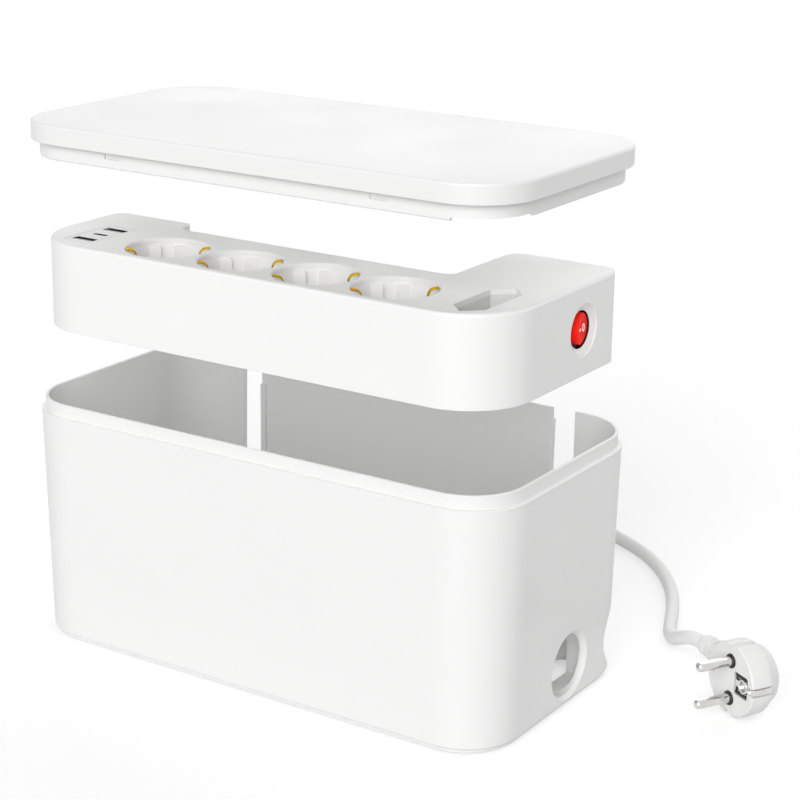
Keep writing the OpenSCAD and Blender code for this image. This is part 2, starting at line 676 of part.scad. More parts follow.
// Ring under the lid that drops inside the lip, cut back at one corner;
// snap pockets near both ends of the long sides
module lid_frame() color([0.95, 0.95, 0.94]) difference() {
    union() {
        ring_sweep(ax, ay) polygon([
            [frame_r - frame_t, lid_bot - skirt], [frame_r - 0.4, lid_bot - skirt],
            [frame_r, lid_bot - skirt + 0.6], [frame_r, lid_top - lid_deck],
            [frame_r - 4.4, lid_top - lid_deck], [frame_r - 4.4, lid_top - lid_deck - 1.4],
            [frame_r - frame_t, lid_top - lid_deck - 1.4]
        ]);
        for (x = [-70, 0, 70]) translate([x - 0.8, -ay - frame_r + 1, lid_top - lid_deck - 3.4])
            cube([1.6, 2 * (ay + frame_r - 1), 3.4]);
        translate([-ax - frame_r + 1, -0.8, lid_top - lid_deck - 3.4])
            cube([2 * (ax + frame_r - 1), 1.6, 3.4]);
    }
    for (x = [-window_x, window_x], s = [-1, 1])
        translate([x - 4.7, s * (ay + frame_r) - 1.2, lid_bot - 3.6]) cube([9.4, 2.4, 3.4]);
    translate([ax + 2.5, -ay - 32, lid_bot - skirt - 1]) cube([31, 36, 2.6]);
}

tub();
feet();
cord_bushing();
supply_cord_in();
cord_coil();
coil_tie();
supply_cord_out();
plug_body();
plug_pins();
plug_pin_sleeves();
plug_earth_clips();
plug_earth_socket();
plug_boot();
strip_cover();
strip_base();
base_screws();
socket_well_1();
socket_well_2();
socket_well_3();
socket_well_4();
earth_clips_1();
earth_clips_2();
earth_clips_3();
earth_clips_4();
earth_bar();
live_bar();
neutral_bar();
euro_well();
euro_contacts();
usb_panel();
usb_a_port_1();
usb_a_port_2();
usb_c_port();
usb_board();
usb_supply();
switch_body();
rocker();
switch_terminals();
cord_gland();
terminal_block();
lid_cover();
lid_frame();
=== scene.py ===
# Cable management box with its power strip and lid standing apart: finishes, cord, small parts, light.
import math

import bmesh
import bpy
from mathutils import Matrix, Vector


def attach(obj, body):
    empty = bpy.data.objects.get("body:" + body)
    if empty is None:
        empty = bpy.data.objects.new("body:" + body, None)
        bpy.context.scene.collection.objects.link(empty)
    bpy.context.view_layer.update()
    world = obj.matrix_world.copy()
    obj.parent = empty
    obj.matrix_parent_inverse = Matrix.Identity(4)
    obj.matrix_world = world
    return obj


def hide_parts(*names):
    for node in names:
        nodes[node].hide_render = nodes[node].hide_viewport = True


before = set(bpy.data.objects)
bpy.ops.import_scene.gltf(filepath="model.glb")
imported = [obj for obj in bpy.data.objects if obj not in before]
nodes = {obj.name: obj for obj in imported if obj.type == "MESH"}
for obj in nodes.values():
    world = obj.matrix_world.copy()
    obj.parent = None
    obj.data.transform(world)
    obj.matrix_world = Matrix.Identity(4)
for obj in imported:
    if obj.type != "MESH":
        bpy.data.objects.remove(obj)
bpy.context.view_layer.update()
scene = bpy.context.scene
scene.view_settings.view_transform = "Standard"
mm = 0.001
print("frame loaded:", len(nodes), "nodes")


# camera, light and floor
studio = {
    "cameraAt": (0.5657, -0.8045, 0.4407),
    "cameraAim": (-0.51939, 0.79984, -0.30082),
    "cameraRoll": math.radians(0.71),
    "lens": 94.8,
    "sensor": 36,
    "clip": (0.01, 50),
    # name, direction it comes from, strength, how wide it is
    "suns": [
        ("softKey", (0.28, -0.86, 0.4), 2.3, math.radians(52)),
        ("softBack", (0.02, 0.9, 0.46), 1.3, math.radians(90)),
    ],
    "skyLight": 0.31,
    "floorTone": 0.64,
    "floorRough": 0.9,
    "floorShine": 0.1,
    "floorLift": 0.5,   # what the camera sees on top of the lit floor, so that open floor is white
    "floorSize": 12,
}


def makeCamera(s):
    data = bpy.data.cameras.new("studioCamera")
    data.lens = s["lens"]
    data.sensor_width = s["sensor"]
    data.clip_start, data.clip_end = s["clip"]
    camera = bpy.data.objects.new("studioCamera", data)
    scene.collection.objects.link(camera)
    aim = Vector(s["cameraAim"]).to_track_quat("-Z", "Y").to_matrix().to_4x4()
    camera.matrix_world = Matrix.Translation(s["cameraAt"]) @ aim @ Matrix.Rotation(s["cameraRoll"], 4, "Z")
    scene.camera = camera


def seenRays(tree):
    # 1 for what the camera sees straight on, in a reflection or through glass
    path = tree.nodes.new("ShaderNodeLightPath")
    seen = path.outputs["Is Camera Ray"]
    for name in ("Is Glossy Ray", "Is Transmission Ray"):
        either = tree.nodes.new("ShaderNodeMath")
        either.operation = "MAXIMUM"
        tree.links.new(seen, either.inputs[0])
        tree.links.new(path.outputs[name], either.inputs[1])
        seen = either.outputs[0]
    return seen


def makeWorld(s):
    world = bpy.data.worlds.new("paleStudio")
    scene.world = world
    world.use_nodes = True
    tree = world.node_tree
    background = tree.nodes["Background"]
    background.inputs["Color"].default_value = (1, 1, 1, 1)
    level = tree.nodes.new("ShaderNodeMapRange")
    level.inputs["To Min"].default_value = s["skyLight"]
    tree.links.new(seenRays(tree), level.inputs["Value"])
    tree.links.new(level.outputs["Result"], background.inputs["Strength"])


def makeSuns(s):
    for name, comesFrom, strength, width in s["suns"]:
        data = bpy.data.lights.new(name, "SUN")
        data.energy = strength
        data.angle = width
        lamp = bpy.data.objects.new(name, data)
        lamp.rotation_mode = "QUATERNION"
        lamp.rotation_quaternion = Vector(comesFrom).to_track_quat("Z", "Y")
        scene.collection.objects.link(lamp)


def makeFloor(s):
    mesh = bpy.data.meshes.new("studioFloor")
    half = s["floorSize"] / 2
    corners = [(-half, -half, 0), (half, -half, 0), (half, half, 0), (-half, half, 0)]
    mesh.from_pydata(corners, [], [(0, 1, 2, 3)])
    floor = bpy.data.objects.new("studioFloor", mesh)
    scene.collection.objects.link(floor)
    material = bpy.data.materials.new("paleFloor")
    material.use_nodes = True
    tree = material.node_tree
    skin = tree.nodes["Principled BSDF"]
    tone = s["floorTone"]
    skin.inputs["Base Color"].default_value = (tone, tone, tone, 1)
    skin.inputs["Roughness"].default_value = s["floorRough"]
    skin.inputs["Specular IOR Level"].default_value = s["floorShine"]
    skin.inputs["Emission Color"].default_value = (1, 1, 1, 1)
    lift = tree.nodes.new("ShaderNodeMath")
    lift.operation = "MULTIPLY"
    lift.inputs[1].default_value = s["floorLift"]
    tree.links.new(seenRays(tree), lift.inputs[0])
    tree.links.new(lift.outputs[0], skin.inputs["Emission Strength"])
    mesh.materials.append(material)


makeCamera(studio)
makeWorld(studio)
makeSuns(studio)
makeFloor(studio)
print("studio ready")


# supply cord: from the bushing to the coil, round it and on to the plug
cordPlan = {
    "thick": 7 * mm,
    "rimSides": 28,
    "step": 1.6 * mm,
    "leadIn": [
        (95.7, 94, 54.3), (95.7, 99.5, 54.2), (94.8, 110, 53.2), (91.2, 119.8, 49.5), (84.8, 127.2, 43),
        (76.4, 130.8, 34.8), (66.8, 131, 25.4), (56.8, 131, 15.8), (46.5, 131, 8.4), (34.5, 131, 4.7),
        (22, 131, 4.1), (12, 131, 4.1),
    ],
    "leadOut": [
        (12, 217, 11.1), (22, 217, 10.9), (33, 216.4, 9.2), (44, 214.4, 6.2), (56, 210.5, 4.1),
        (69, 204.5, 3.5), (82, 196, 3.5), (95, 184.6, 3.5), (107, 171, 3.5), (118, 155, 3.5),
        (127, 138, 3.5), (134.4, 121.2, 3.5), (141, 106.5, 3.8), (148, 96, 6.2), (155.5, 87.3, 11.2),
        (163.5, 80.2, 16.2), (170, 76, 18.2), (175.5, 72.7, 18.4),
    ],
    "coilCentre": (5, 173),
    # degrees wound, clockwise from the front, at which a turn starts to shift, and the radii it goes between
    "coilShifts": [(285, 44, 37), (645, 37, 30), (1245, 30, 37), (1605, 37, 44)],
    "coilRise": 960,       # degrees wound at which it climbs on to its own turns
    "coilEase": 75,        # degrees that a shift or the climb takes
    "coilLow": 4.1,
    "coilHigh": 11.1,
    "coilEnd": 1980,
    "coilStep": 12,
    "fineSpans": 16,       # straight bits in each span of a spline before it is spaced evenly
}


def eased(t, start, end):
    s = min(max((t - start) / (end - start), 0), 1)
    return s * s * (3 - 2 * s)


def coilPoint(c, t):
    # in over three turns on the low level, then out again on top of them
    r = c["coilShifts"][0][1]
    for start, a, b in c["coilShifts"]:
        r += (b - a) * eased(t, start, start + c["coilEase"])
    climbed = eased(t, c["coilRise"], c["coilRise"] + c["coilEase"])
    z = c["coilLow"] + (c["coilHigh"] - c["coilLow"]) * climbed
    angle = math.radians(-90 - t)
    return (c["coilCentre"][0] + r * math.cos(angle), c["coilCentre"][1] + r * math.sin(angle), z)


def smoothLine(points, step):
    # centripetal spline through the points, at an even spacing
    spans = cordPlan["fineSpans"]
    p = [Vector(q) for q in points]
    p = [2 * p[0] - p[1]] + p + [2 * p[-1] - p[-2]]
    fine = []
    for i in range(1, len(p) - 2):
        p0, p1, p2, p3 = p[i - 1:i + 3]
        k = [0]
        for a, b in ((p0, p1), (p1, p2), (p2, p3)):
            k.append(k[-1] + (b - a).length ** 0.5)
        for j in range(spans):
            t = k[1] + (k[2] - k[1]) * j / spans
            a1 = p0 * ((k[1] - t) / (k[1] - k[0])) + p1 * ((t - k[0]) / (k[1] - k[0]))
            a2 = p1 * ((k[2] - t) / (k[2] - k[1])) + p2 * ((t - k[1]) / (k[2] - k[1]))
            a3 = p2 * ((k[3] - t) / (k[3] - k[2])) + p3 * ((t - k[2]) / (k[3] - k[2]))
            b1 = a1 * ((k[2] - t) / (k[2] - k[0])) + a2 * ((t - k[0]) / (k[2] - k[0]))
            b2 = a2 * ((k[3] - t) / (k[3] - k[1])) + a3 * ((t - k[1]) / (k[3] - k[1]))
            fine.append(b1 * ((k[2] - t) / (k[2] - k[1])) + b2 * ((t - k[1]) / (k[2] - k[1])))
    fine.append(p[-2])
    length = sum((b - a).length for a, b in zip(fine, fine[1:]))
    count = max(2, round(length / step))
    even, walked, goal = [fine[0]], 0, length / count
    for a, b in zip(fine, fine[1:]):
        span = (b - a).length
        while len(even) < count and walked + span >= goal:
            even.append(a.lerp(b, (goal - walked) / span))
            goal += length / count
        walked += span
    even.append(fine[-1])
    return even


def cordRoute(c):
    coil = [coilPoint(c, t) for t in range(0, c["coilEnd"] + 1, c["coilStep"])]
    return smoothLine([Vector(p) * mm for p in c["leadIn"] + coil + c["leadOut"]], c["step"])


def nodeTree(name, inputs):
    # a Geometry Nodes tree with a geometry in and out and the named number inputs
    tree = bpy.data.node_groups.new(name, "GeometryNodeTree")
    tree.interface.new_socket("Geometry", in_out="INPUT", socket_type="NodeSocketGeometry")
    for label, kind in inputs:
        tree.interface.new_socket(label, in_out="INPUT", socket_type=kind)
    tree.interface.new_socket("Geometry", in_out="OUTPUT", socket_type="NodeSocketGeometry")
    return tree, tree.nodes.new("NodeGroupInput"), tree.nodes.new("NodeGroupOutput")


def finishTree(tree, last, groupIn, groupOut):
    real = tree.nodes.new("GeometryNodeRealizeInstances")
    paint = tree.nodes.new("GeometryNodeSetMaterial")
    tree.links.new(last, real.inputs[0])
    tree.links.new(real.outputs[0], paint.inputs["Geometry"])
    tree.links.new(groupIn.outputs["Finish"], paint.inputs["Material"])
    tree.links.new(paint.outputs[0], groupOut.inputs[0])


def runTree(tree, source, values, name):
    # evaluates the tree on a source object and keeps the result as a plain mesh
    modifier = source.modifiers.new("rule", "NODES")
    modifier.node_group = tree
    for item in tree.interface.items_tree:
        if item.item_type == "SOCKET" and item.in_out == "INPUT" and item.name in values:
            modifier[item.identifier] = values[item.name]
    scene.collection.objects.link(source)
    bpy.context.view_layer.update()
    evaluated = source.evaluated_get(bpy.context.evaluated_depsgraph_get())
    mesh = bpy.data.meshes.new_from_object(evaluated)
    mesh.name = name
    source.modifiers.clear()
    bpy.data.objects.remove(source)
    piece = bpy.data.objects.new(name, mesh)
    scene.collection.objects.link(piece)
    return piece


def polyCurve(name, points):
    curve = bpy.data.curves.new(name, "CURVE")
    curve.dimensions = "3D"
    spline = curve.splines.new("POLY")
    spline.points.add(len(points) - 1)
    for point, at in zip(spline.points, points):
        point.co = (*at, 1)
    return bpy.data.objects.new(name, curve)


def sweepTree():
    tree, groupIn, groupOut = nodeTree("cordSweep", [
        ("Radius", "NodeSocketFloat"), ("Sides", "NodeSocketInt"), ("Finish", "NodeSocketMaterial")])
    rim = tree.nodes.new("GeometryNodeCurvePrimitiveCircle")
    sweep = tree.nodes.new("GeometryNodeCurveToMesh")
    smooth = tree.nodes.new("GeometryNodeSetShadeSmooth")
    tree.links.new(groupIn.outputs["Radius"], rim.inputs["Radius"])
    tree.links.new(groupIn.outputs["Sides"], rim.inputs["Resolution"])
    tree.links.new(groupIn.outputs["Geometry"], sweep.inputs["Curve"])
    tree.links.new(rim.outputs["Curve"], sweep.inputs["Profile Curve"])
    sweep.inputs["Fill Caps"].default_value = True
    tree.links.new(sweep.outputs["Mesh"], smooth.inputs["Geometry"])
    finishTree(tree, smooth.outputs[0], groupIn, groupOut)
    return tree


# finishes
def shaderGroup(name, inputs, outputs):
    tree = bpy.data.node_groups.new(name, "ShaderNodeTree")
    for label, kind in inputs:
        tree.interface.new_socket(label, in_out="INPUT", socket_type="NodeSocket" + kind)
    for label, kind in outputs:
        tree.interface.new_socket(label, in_out="OUTPUT", socket_type="NodeSocket" + kind)
    return tree, tree.nodes.new("NodeGroupInput"), tree.nodes.new("NodeGroupOutput")


def noiseOf(tree, at, size, detail):
    # noise whose features are about as large as the size socket says, in metres
    scale = tree.nodes.new("ShaderNodeMath")
    scale.operation = "DIVIDE"
    scale.inputs[0].default_value = 1
    tree.links.new(size, scale.inputs[1])
    noise = tree.nodes.new("ShaderNodeTexNoise")
    noise.inputs["Detail"].default_value = detail
    tree.links.new(at, noise.inputs["Vector"])
    tree.links.new(scale.outputs[0], noise.inputs["Scale"])
    return noise.outputs["Fac"]


noiseMiddle = (0.3, 0.7)      # the part of a noise that is stretched over a finish's range


def spanned(tree, value, low, high):
    # stretches the middle of a noise over the range between two sockets
    span = tree.nodes.new("ShaderNodeMapRange")
    span.inputs["From Min"].default_value, span.inputs["From Max"].default_value = noiseMiddle
    tree.links.new(value, span.inputs["Value"])
    tree.links.new(low, span.inputs["To Min"])
    tree.links.new(high, span.inputs["To Max"])
    return span.outputs["Result"]


def blendOf(tree, factor, a, b):
    mix = tree.nodes.new("ShaderNodeMix")
    mix.data_type = "RGBA"
    tree.links.new(factor, mix.inputs["Factor"])
    tree.links.new(a, mix.inputs["A"])
    tree.links.new(b, mix.inputs["B"])
    return mix.outputs["Result"]


skinInputs = [("Tone", "Color"), ("Shade", "Color"), ("Cloud Size", "Float"), ("Grain Size", "Float"),
              ("Rough Low", "Float"), ("Rough High", "Float")]
skinOutputs = [("Color", "Color"), ("Roughness", "Float"), ("Height", "Float")]

# moulded plastic has a slow drift of tone and gloss over a fine even grain; sheet metal is tarnished in
# patches, with its gloss in fine lines drawn out along Z
skinPlans = {
    "moulded": {"cloudDetail": 3, "grainDetail": 2, "drawn": 1, "glossFrom": "cloud"},
    "metal": {"cloudDetail": 4, "grainDetail": 1, "drawn": 0.12, "glossFrom": "grain"},
}


def skinGroup(name, s):
    tree, groupIn, groupOut = shaderGroup(name + "Skin", skinInputs, skinOutputs)
    at = tree.nodes.new("ShaderNodeTexCoord").outputs["Object"]
    stretch = tree.nodes.new("ShaderNodeMapping")
    stretch.inputs["Scale"].default_value = (1, 1, s["drawn"])
    tree.links.new(at, stretch.inputs["Vector"])
    noises = {
        "cloud": noiseOf(tree, at, groupIn.outputs["Cloud Size"], s["cloudDetail"]),
        "grain": noiseOf(tree, stretch.outputs["Vector"], groupIn.outputs["Grain Size"], s["grainDetail"]),
    }
    colour = blendOf(tree, noises["cloud"], groupIn.outputs["Tone"], groupIn.outputs["Shade"])
    gloss = spanned(tree, noises[s["glossFrom"]], groupIn.outputs["Rough Low"], groupIn.outputs["Rough High"])
    tree.links.new(colour, groupOut.inputs["Color"])
    tree.links.new(gloss, groupOut.inputs["Roughness"])
    tree.links.new(noises["grain"], groupOut.inputs["Height"])
    return tree


skins = {name: skinGroup(name, s) for name, s in skinPlans.items()}

# what a finish has unless it says otherwise: sizes of the noise, bump and its depth, rounding of edges
usual = {"skin": "moulded", "cloud": 60 * mm, "grain": 0.7 * mm, "bump": 0.12, "deep": 0.05 * mm,
         "bevel": 0.3 * mm, "shine": 0.5, "edge": (1, 1, 1)}
metal = {"skin": "metal", "cloud": 6 * mm, "grain": 0.3 * mm}
bevelSamples = 6

finishes = {
    "whiteShell": {"tone": (0.88, 0.88, 0.875), "shade": (0.86, 0.86, 0.857), "rough": (0.32, 0.42),
                   "bevel": 0},
    "lidShell": {"tone": (0.86, 0.86, 0.856), "shade": (0.84, 0.84, 0.836), "rough": (0.34, 0.44),
                 "bevel": 0},
    "stripShell": {"tone": (0.9, 0.9, 0.895), "shade": (0.88, 0.88, 0.876), "rough": (0.32, 0.44)},
    "wellShell": {"tone": (0.94, 0.94, 0.935), "shade": (0.92, 0.92, 0.915), "rough": (0.22, 0.32),
                  "grain": 0.4 * mm},
    "bezelShellPaintedShade": {"tone": (0.875, 0.875, 0.87), "shade": (0.85, 0.85, 0.845), "rough": (0.24, 0.34),
                   # painted shade: the cup behind the rocker is turned near black within this radius
                   "hollow": {"middle": (0.0137, 0.1842), "radius": 8.95 * mm, "soft": 0.1 * mm,
                              "paintedShadeTone": (0.012, 0.012, 0.013)}},
    # the euro recess is white plastic, painted grey here as painted shade in the recess
    "euroWellPaintedShade": {"tone": (0.78, 0.78, 0.776), "shade": (0.75, 0.75, 0.746), "rough": (0.35, 0.45)},
    "usbShell": {"tone": (0.86, 0.86, 0.86), "shade": (0.83, 0.83, 0.83), "rough": (0.35, 0.45)},
    "cordSkin": {"tone": (0.87, 0.87, 0.866), "shade": (0.855, 0.855, 0.851), "rough": (0.42, 0.46),
                 "cloud": 14 * mm, "grain": 0.8 * mm, "bump": 0.08, "bevel": 0},
    "plugShell": {"tone": (0.86, 0.86, 0.855), "shade": (0.83, 0.83, 0.825), "rough": (0.34, 0.46)},
    "blackPlastic": {"tone": (0.014, 0.014, 0.015), "shade": (0.024, 0.024, 0.026), "rough": (0.38, 0.55),
                     "shine": 0.35},
    "tieCloth": {"tone": (0.045, 0.045, 0.05), "shade": (0.075, 0.075, 0.08), "rough": (0.8, 0.95),
                 "cloud": 1.2 * mm, "grain": 0.35 * mm, "bump": 0.9, "deep": 0.25 * mm},
    "rubberPad": {"tone": (0.62, 0.62, 0.61), "shade": (0.54, 0.54, 0.53), "rough": (0.7, 0.85),
                  "grain": 0.5 * mm, "bump": 0.4},
    # the red rocker has a painted glow that lifts its shaded sides to a bright red, as a lit rocker would
    # glow
    "redButtonPaintedGlow": {"tone": (0.84, 0.02, 0.012), "shade": (0.76, 0.014, 0.008), "rough": (0.42, 0.52),
                  "shine": 0.05, "paintedGlow": ((1, 0.012, 0.004), 0.22)},
    # white print on the rocker, with a painted glow that keeps it bright in shade
    "markPaintPaintedGlow": {"tone": (0.95, 0.95, 0.94), "shade": (0.92, 0.92, 0.91), "rough": (0.4, 0.5),
                  "bevel": 0, "paintedGlow": ((1, 1, 1), 0.12)},
    "portTongue": {"tone": (0.3, 0.3, 0.305), "shade": (0.24, 0.24, 0.245), "rough": (0.35, 0.5)},
    # painted shade: near black on the inside walls and bottom of the port shells
    "portPaintedShade": {"tone": (0.008, 0.008, 0.009), "shade": (0.014, 0.014, 0.015), "rough": (0.5, 0.6),
                 "shine": 0.2, "bevel": 0},
    "boardGreen": {"tone": (0.02, 0.16, 0.07), "shade": (0.035, 0.22, 0.1), "rough": (0.3, 0.45),
                   "cloud": 3 * mm},
    "supplyParts": {"tone": (0.55, 0.42, 0.06), "shade": (0.42, 0.3, 0.04), "rough": (0.4, 0.55)},
    "terminalBlue": {"tone": (0.05, 0.13, 0.34), "shade": (0.04, 0.1, 0.28), "rough": (0.4, 0.5)},
    "clipBrass": {**metal, "tone": (0.72, 0.47, 0.015), "shade": (0.5, 0.31, 0.01), "rough": (0.2, 0.32),
                  "edge": (0.75, 0.5, 0.04)},
    "barCopper": {**metal, "tone": (0.8, 0.46, 0.26), "shade": (0.6, 0.32, 0.17), "rough": (0.26, 0.42)},
    "pinNickel": {**metal, "tone": (0.72, 0.71, 0.69), "shade": (0.6, 0.59, 0.57), "rough": (0.12, 0.24)},
    "portSteel": {**metal, "tone": (0.62, 0.63, 0.65), "shade": (0.5, 0.51, 0.53), "rough": (0.25, 0.4)},
    "screwSteel": {**metal, "tone": (0.6, 0.6, 0.62), "shade": (0.46, 0.46, 0.48), "rough": (0.25, 0.42)},
    "contactGold": {**metal, "tone": (0.85, 0.62, 0.28), "shade": (0.74, 0.5, 0.2), "rough": (0.15, 0.25)},
}


def paintedShadeInside(tree, colour, hollow):
    # paints shade into the colour: near black within a radius of a line along X, in the cup behind the
    # button, where shade falls
    at = tree.nodes.new("ShaderNodeTexCoord").outputs["Object"]
    for operation, by in (("SUBTRACT", (0, *hollow["middle"])), ("MULTIPLY", (0, 1, 1)), ("LENGTH", None)):
        step = tree.nodes.new("ShaderNodeVectorMath")
        step.operation = operation
        if by:
            step.inputs[1].default_value = by
        tree.links.new(at, step.inputs[0])
        at = step.outputs["Value" if operation == "LENGTH" else "Vector"]
    edge = tree.nodes.new("ShaderNodeMapRange")
    edge.inputs["From Min"].default_value = hollow["radius"]
    edge.inputs["From Max"].default_value = hollow["radius"] + hollow["soft"]
    tree.links.new(at, edge.inputs["Value"])
    mix = tree.nodes.new("ShaderNodeMix")
    mix.data_type = "RGBA"
    mix.inputs["A"].default_value = (*hollow["paintedShadeTone"], 1)
    tree.links.new(edge.outputs["Result"], mix.inputs["Factor"])
    tree.links.new(colour, mix.inputs["B"])
    return mix.outputs["Result"]


def makeFinish(name, own):
    f = {**usual, **own}
    material = bpy.data.materials.new(name)
    material.use_nodes = True
    tree = material.node_tree
    surface = tree.nodes["Principled BSDF"]
    skin = tree.nodes.new("ShaderNodeGroup")
    skin.node_tree = skins[f["skin"]]
    skin.inputs["Tone"].default_value = (*f["tone"], 1)
    skin.inputs["Shade"].default_value = (*f["shade"], 1)
    skin.inputs["Cloud Size"].default_value = f["cloud"]
    skin.inputs["Grain Size"].default_value = f["grain"]
    skin.inputs["Rough Low"].default_value, skin.inputs["Rough High"].default_value = f["rough"]
    surface.inputs["Metallic"].default_value = 1 if f["skin"] == "metal" else 0
    surface.inputs["Specular IOR Level"].default_value = f["shine"]
    surface.inputs["Specular Tint"].default_value = (*f["edge"], 1)
    # a painted glow: light that no lamp in the scene gives
    if "paintedGlow" in f:
        surface.inputs["Emission Color"].default_value = (*f["paintedGlow"][0], 1)
        surface.inputs["Emission Strength"].default_value = f["paintedGlow"][1]
    bump = tree.nodes.new("ShaderNodeBump")
    bump.inputs["Strength"].default_value = f["bump"]
    bump.inputs["Distance"].default_value = f["deep"]
    if f["bevel"]:
        rounded = tree.nodes.new("ShaderNodeBevel")
        rounded.samples = bevelSamples
        rounded.inputs["Radius"].default_value = f["bevel"]
        tree.links.new(rounded.outputs["Normal"], bump.inputs["Normal"])
    colour = skin.outputs["Color"]
    # painted shade in the cup behind the button
    if "hollow" in f:
        colour = paintedShadeInside(tree, colour, f["hollow"])
    tree.links.new(colour, surface.inputs["Base Color"])
    tree.links.new(skin.outputs["Roughness"], surface.inputs["Roughness"])
    tree.links.new(skin.outputs["Height"], bump.inputs["Height"])
    tree.links.new(bump.outputs["Normal"], surface.inputs["Normal"])
    return material


finish = {name: makeFinish(name, own) for name, own in finishes.items()}

nodesIn = {
    "whiteShell": "tub lid_frame",
    "lidShell": "lid_cover",
    "stripShell": "strip_cover strip_base",
    "wellShell": "socket_well_1 socket_well_2 socket_well_3 socket_well_4",
    "euroWellPaintedShade": "euro_well",
    "usbShell": "usb_panel",
    "bezelShellPaintedShade": "switch_body",
    "redButtonPaintedGlow": "rocker",
    "cordSkin": "cord_bushing cord_gland supply_cord_in supply_cord_out cord_coil plug_boot",
    "plugShell": "plug_body",
    "blackPlastic": "plug_pin_sleeves plug_earth_socket",
    "tieCloth": "coil_tie",
    "rubberPad": "feet",
    "pinNickel": "plug_pins plug_earth_clips switch_terminals",
    "clipBrass": "earth_bar earth_clips_1 earth_clips_2 earth_clips_3 earth_clips_4",
    "barCopper": "live_bar neutral_bar euro_contacts",
    "portSteel": "usb_a_port_1 usb_a_port_2 usb_c_port",
    "boardGreen": "usb_board",
    "supplyParts": "usb_supply",
    "screwSteel": "base_screws",
    "terminalBlue": "terminal_block",
}
for used, names in nodesIn.items():
    for name in names.split():
        nodes[name].data.materials.clear()
        nodes[name].data.materials.append(finish[used])
print("finishes on", sum(len(names.split()) for names in nodesIn.values()), "nodes")


# the cord itself
cordLine = cordRoute(cordPlan)
supplyCord = runTree(sweepTree(), polyCurve("cordLine", cordLine), {
    "Radius": cordPlan["thick"] / 2, "Sides": cordPlan["rimSides"], "Finish": finish["cordSkin"],
}, "supplyCord")
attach(supplyCord, "tub_body")
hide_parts("supply_cord_in", "supply_cord_out", "cord_coil")


# shared ways of making small parts
crispFrom = math.radians(35)      # edges that turn by more than this are shaded crisp
merged = 1e-7                     # points closer than this, in metres, are one
poleRadius = 1e-4                 # a pole's ring is this small, so that its points are merged


def keep(piece, body, slotName, *replaced):
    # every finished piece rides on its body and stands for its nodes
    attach(piece, body)
    if replaced:
        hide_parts(*replaced)
    return piece


def placeAt(at, turn=0):
    # for a piece drawn in millimetres, which is turned about Z and put in its place
    return Matrix.Translation(Vector(at) * mm) @ Matrix.Rotation(turn, 4, "Z") @ Matrix.Scale(mm, 4)


def roundEdges(piece, width, fromDegrees=38):
    rounding = piece.modifiers.new("edges", "BEVEL")
    rounding.width = width
    rounding.segments = 2
    rounding.limit_method = "ANGLE"
    rounding.angle_limit = math.radians(fromDegrees)


def meshPiece(name, build, materials, edge=0):
    # build fills a bmesh in metres; edge rounds what is sharp
    made = bmesh.new()
    build(made)
    bmesh.ops.remove_doubles(made, verts=made.verts, dist=merged)
    bmesh.ops.recalc_face_normals(made, faces=made.faces)
    mesh = bpy.data.meshes.new(name)
    made.to_mesh(mesh)
    made.free()
    for used in materials:
        mesh.materials.append(finish[used])
    for face in mesh.polygons:
        face.use_smooth = True
    mesh.set_sharp_from_angle(angle=crispFrom)
    piece = bpy.data.objects.new(name, mesh)
    scene.collection.objects.link(piece)
    if edge:
        roundEdges(piece, edge)
    return piece


def combine(piece, operation, others):
    # takes the others out of a piece or joins them on to it, and removes them
    for other in others:
        step = piece.modifiers.new("combine", "BOOLEAN")
        step.operation = operation
        step.solver = "EXACT"
        step.object = other
    bpy.context.view_layer.update()
    mesh = bpy.data.meshes.new_from_object(piece.evaluated_get(bpy.context.evaluated_depsgraph_get()))
    piece.modifiers.clear()
    piece.data = mesh
    for other in others:
        bpy.data.objects.remove(other)
    mesh.set_sharp_from_angle(angle=crispFrom)


def bridge(made, a, b, slot):
    # quads between two rings of vertices
    for i in range(len(a)):
        j = (i + 1) % len(a)
        made.faces.new((a[i], a[j], b[j], b[i])).material_index = slot


def addLoops(made, loops, slot=0):
    # a skin over successive closed loops of points, capped at both ends; slot may give one for each band
    slots = slot if isinstance(slot, tuple) else (slot,) * (len(loops) - 1)
    rings = [[made.verts.new(p) for p in loop] for loop in loops]
    for a, b, used in zip(rings, rings[1:], slots):
        bridge(made, a, b, used)
    made.faces.new(rings[0][::-1]).material_index = slots[0]
    made.faces.new(rings[-1]).material_index = slots[-1]


def addHoop(made, loops, slot=0):
    # a skin over closed loops of points, from the last back to the first
    rings = [[made.verts.new(p) for p in loop] for loop in loops]
    for a, b in zip(rings, rings[1:] + rings[:1]):
        bridge(made, a, b, slot)


def addBox(made, low, high, place=Matrix(), slot=0):
    rim = ((low[0], low[1]), (high[0], low[1]), (high[0], high[1]), (low[0], high[1]))
    addLoops(made, [[place @ Vector((x, y, z)) for x, y in rim] for z in (low[2], high[2])], slot)


def circle(radius, z, angles, place=Matrix()):
    return [place @ Vector((radius * math.cos(a), radius * math.sin(a), z)) for a in angles]


def evenAngles(sides):
    return [math.tau * k / sides for k in range(sides)]


def addRevolve(made, profile, sides, place=Matrix(), slot=0):
    # a profile of (radius, height) turned about the local Z axis
    angles = evenAngles(sides)
    addLoops(made, [circle(max(r, poleRadius), z, angles, place) for r, z in profile], slot)


def addRibbon(made, line, across, width, thick):
    # a flat spring bent along a line; across is the direction of its width
    side = Vector(across).normalized() * width / 2
    loops = []
    for i, at in enumerate(line):
        ahead = (line[min(i + 1, len(line) - 1)] - line[max(i - 1, 0)]).normalized()
        up = ahead.cross(side).normalized() * thick / 2
        loops.append([at + side + up, at - side + up, at - side - up, at + side - up])
    addLoops(made, loops)


